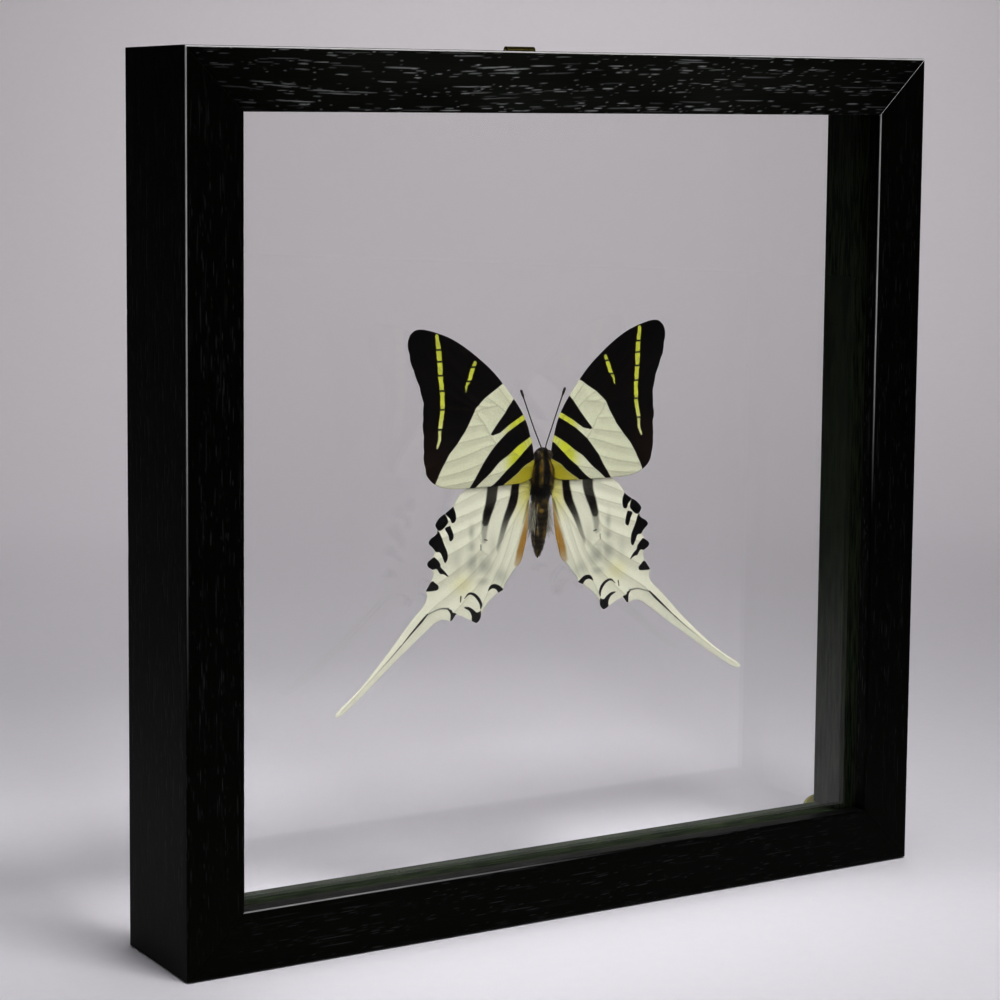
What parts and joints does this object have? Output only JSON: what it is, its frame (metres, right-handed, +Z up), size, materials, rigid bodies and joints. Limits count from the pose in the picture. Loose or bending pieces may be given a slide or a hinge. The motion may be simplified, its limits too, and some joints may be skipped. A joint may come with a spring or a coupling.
{
  "type": "framed butterfly specimen",
  "caption": "Swallowtail butterfly mounted between glass panes in a square black ash frame that stands on its edge, with a brass ring hanger on the back",
  "frame": {"origin": "middle of the frame's bottom face", "axes": "+X to the viewer's right, +Y back from the viewer, +Z up; the butterfly faces -Y"},
  "size_m": [0.25, 0.0404, 0.2524],
  "materials": {
    "black_stained_ash": "black stain on open-grained ash, satin",
    "float_glass": "polished clear float glass",
    "black_spacer": "black painted slip, satin",
    "hot_glue": "yellowed translucent hot-melt glue",
    "brass": "bright pressed brass",
    "clear_acrylic": "polished clear acrylic rod",
    "insect_fur": "dark scales with olive hair",
    "insect_cuticle": "dark satin cuticle",
    "forewing_scales": "velvety dark scales with cream and yellow-green bands",
    "hindwing_scales": "matt cream scales with dark marks"
  },
  "bodies": {
    "frame": {"bottom_rail": "black_stained_ash", "left_rail": "black_stained_ash", "top_rail": "black_stained_ash", "right_rail": "black_stained_ash", "front_glass": "float_glass", "back_glass": "float_glass", "bottom_spacer": "black_spacer", "top_spacer": "black_spacer", "left_spacer": "black_spacer", "right_spacer": "black_spacer", "glue_drop_bottom_left": "hot_glue", "glue_drop_bottom_right": "hot_glue", "glue_drop_top_left": "hot_glue", "glue_drop_top_right": "hot_glue", "hanger_strap": "brass", "hanger_screw": "brass", "support_post": "clear_acrylic", "butterfly_body": "insect_fur", "left_antenna": "insect_cuticle", "right_antenna": "insect_cuticle", "left_forewing": "forewing_scales", "right_forewing": "forewing_scales", "left_hindwing": "hindwing_scales", "right_hindwing": "hindwing_scales"},
    "ring": {"hanger_ring": "brass"}
  },
  "joints": [
    {"name": "ring_hinge", "type": "hinge", "parent": "frame", "child": "ring", "pos_m": [0.0025, 0.0197, 0.25135], "axis": [1, 0, 0], "range_deg": [0, 255]}
  ]
}
